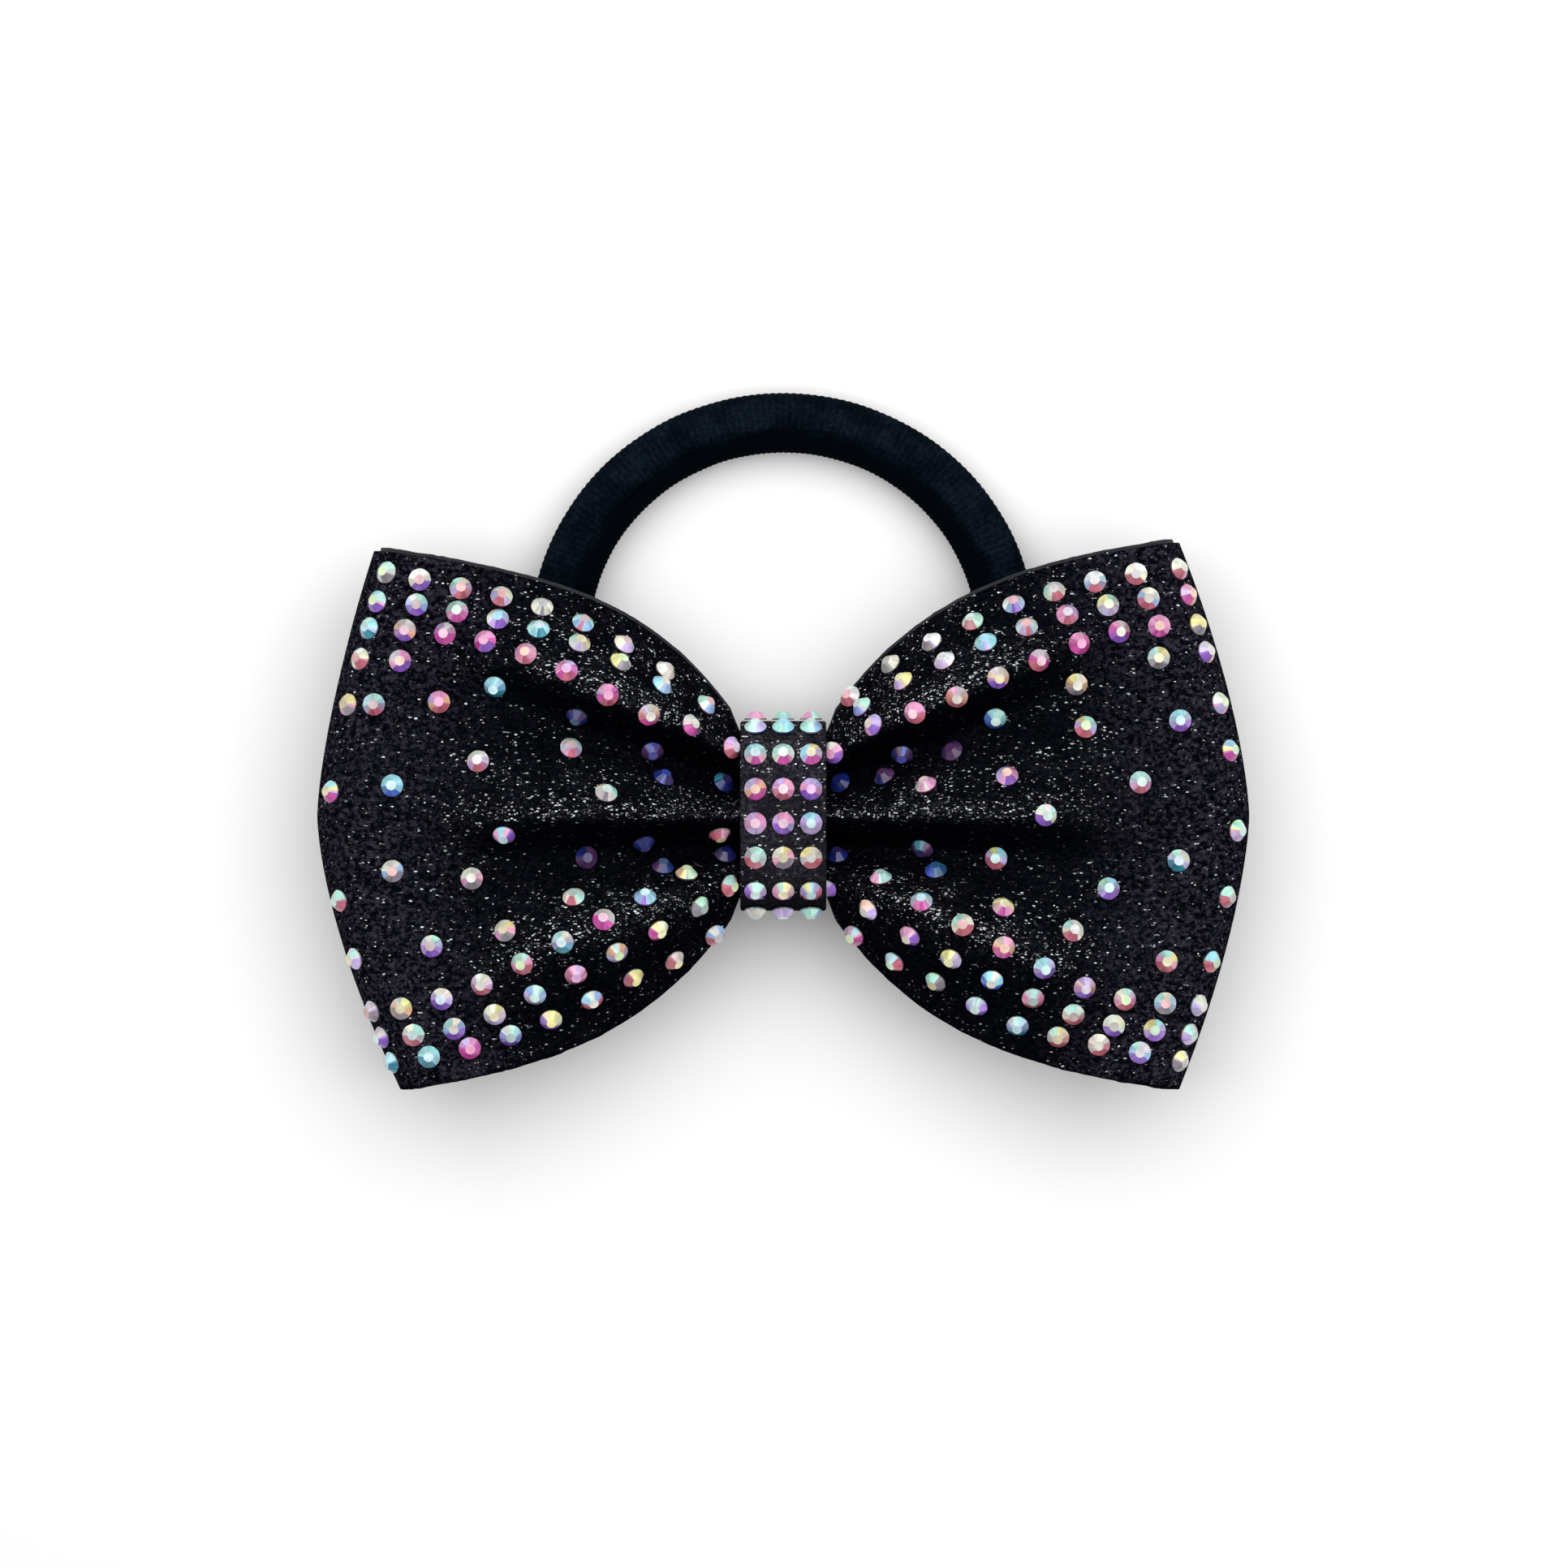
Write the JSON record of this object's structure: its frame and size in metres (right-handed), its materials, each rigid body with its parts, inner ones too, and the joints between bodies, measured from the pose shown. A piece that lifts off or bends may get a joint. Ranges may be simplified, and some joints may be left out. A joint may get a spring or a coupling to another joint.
{
  "type": "cheer hair bow",
  "caption": "Tailless pleated glitter-cloth hair bow with crystal stones, a stoned centre band and a swinging knitted hair elastic behind the knot.",
  "frame": {"origin": "middle of the centre band's flat back, on the surface that the bow lies on", "axes": "+X along the bow from loop to loop, +Y towards the free side of the hair elastic, +Z out of the decorated front"},
  "size_m": [0.1226, 0.0922, 0.0271],
  "materials": {
    "glitter_cloth": "black glitter, velvety",
    "lining_cloth": "smooth black",
    "band_cloth": "black glitter, velvety",
    "thread": "waxed black thread",
    "elastic_knit": "fine-ribbed seamless knit",
    "stone": "faceted, iridescent coating"
  },
  "bodies": {
    "bow": {"glitter_strip": "glitter_cloth", "backing_strip": "lining_cloth", "center_band": "band_cloth", "binding_thread": "thread", "knot_stone_r1c1": "stone", "knot_stone_r1c2": "stone", "knot_stone_r1c3": "stone", "knot_stone_r2c1": "stone", "knot_stone_r2c2": "stone", "knot_stone_r2c3": "stone", "knot_stone_r3c1": "stone", "knot_stone_r3c2": "stone", "knot_stone_r3c3": "stone", "knot_stone_r4c1": "stone", "knot_stone_r4c2": "stone", "knot_stone_r4c3": "stone", "knot_stone_r5c1": "stone", "knot_stone_r5c2": "stone", "knot_stone_r5c3": "stone", "knot_stone_r6c1": "stone", "knot_stone_r6c2": "stone", "knot_stone_r6c3": "stone", "knot_stone_r7c1": "stone", "knot_stone_r7c2": "stone", "knot_stone_r7c3": "stone", "knot_stone_r8c1": "stone", "knot_stone_r8c2": "stone", "knot_stone_r8c3": "stone", "right_edge_stone_1": "stone", "right_edge_stone_2": "stone", "right_edge_stone_3": "stone", "right_edge_stone_4": "stone", "right_edge_stone_5": "stone", "right_edge_stone_6": "stone", "right_edge_stone_7": "stone", "right_edge_stone_8": "stone", "right_edge_stone_9": "stone", "right_edge_stone_10": "stone", "right_edge_stone_11": "stone", "right_edge_stone_12": "stone", "left_edge_stone_1": "stone", "left_edge_stone_2": "stone", "left_edge_stone_3": "stone", "left_edge_stone_4": "stone", "left_edge_stone_5": "stone", "left_edge_stone_6": "stone", "left_edge_stone_7": "stone", "left_edge_stone_8": "stone", "left_edge_stone_9": "stone", "left_edge_stone_10": "stone", "left_edge_stone_11": "stone"},
    "elastic": {"hair_elastic": "elastic_knit"}
  },
  "joints": [
    {"name": "elastic_swing", "type": "hinge", "parent": "bow", "child": "elastic", "pos_m": [0, 0, 0.00585], "axis": [1, 0, 0], "range_deg": [-175.5, 0]}
  ]
}
